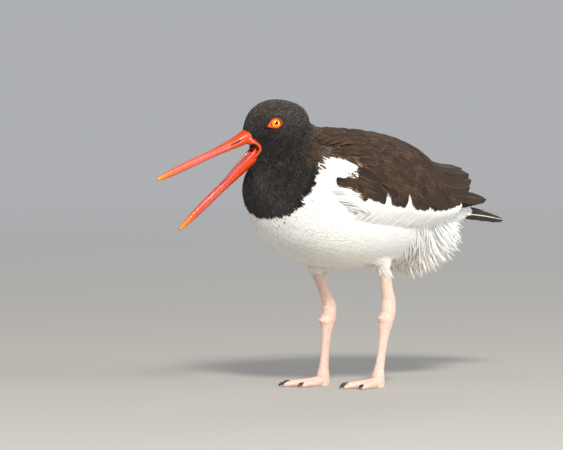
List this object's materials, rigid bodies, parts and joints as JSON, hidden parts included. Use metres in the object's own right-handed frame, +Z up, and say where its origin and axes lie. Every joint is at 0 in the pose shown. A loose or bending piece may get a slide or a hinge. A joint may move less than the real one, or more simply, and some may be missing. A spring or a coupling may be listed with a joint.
{
  "type": "oystercatcher",
  "caption": "Life-size still model of a standing oystercatcher that calls with its long bill open, wings folded and both feet flat on the floor.",
  "frame": {"origin": "middle of the bird's box at the floor, under its breast and between its feet", "axes": "+Z up; the body faces -Y with its tail towards +Y; +X is the bird's left side"},
  "size_m": [0.1268, 0.3498, 0.2473],
  "materials": {
    "plumage_black": "matt, soft",
    "plumage_white": "matt, soft",
    "plumage_brown": "satin, with paler feather edges",
    "bill": "semi-gloss horn, paler towards the tips",
    "bare_legs": "scaly, dull",
    "iris": "wet gloss",
    "eyelid": "semi-gloss",
    "mouth": "moist",
    "tongue": "moist",
    "claw": "satin"
  },
  "bodies": {
    "root": {"head": "plumage_black", "neck": "plumage_black", "torso": "plumage_white", "mantle": "plumage_brown", "wing_left": "plumage_brown", "wing_right": "plumage_brown", "tail": "plumage_brown", "bill_upper": "bill", "bill_lower": "bill", "gape_left": "bill", "gape_right": "bill", "mouth_lining": "mouth", "tongue": "tongue", "eye_left": "iris", "eye_right": "iris", "eyelid_left": "eyelid", "eyelid_right": "eyelid", "thigh_left": "plumage_white", "tibia_left": "bare_legs", "tarsus_left": "bare_legs", "toe_inner_left": "bare_legs", "toe_middle_left": "bare_legs", "toe_outer_left": "bare_legs", "claw_inner_left": "claw", "claw_middle_left": "claw", "claw_outer_left": "claw", "thigh_right": "plumage_white", "tibia_right": "bare_legs", "tarsus_right": "bare_legs", "toe_inner_right": "bare_legs", "toe_middle_right": "bare_legs", "toe_outer_right": "bare_legs", "claw_inner_right": "claw", "claw_middle_right": "claw", "claw_outer_right": "claw"}
  },
  "joints": []
}
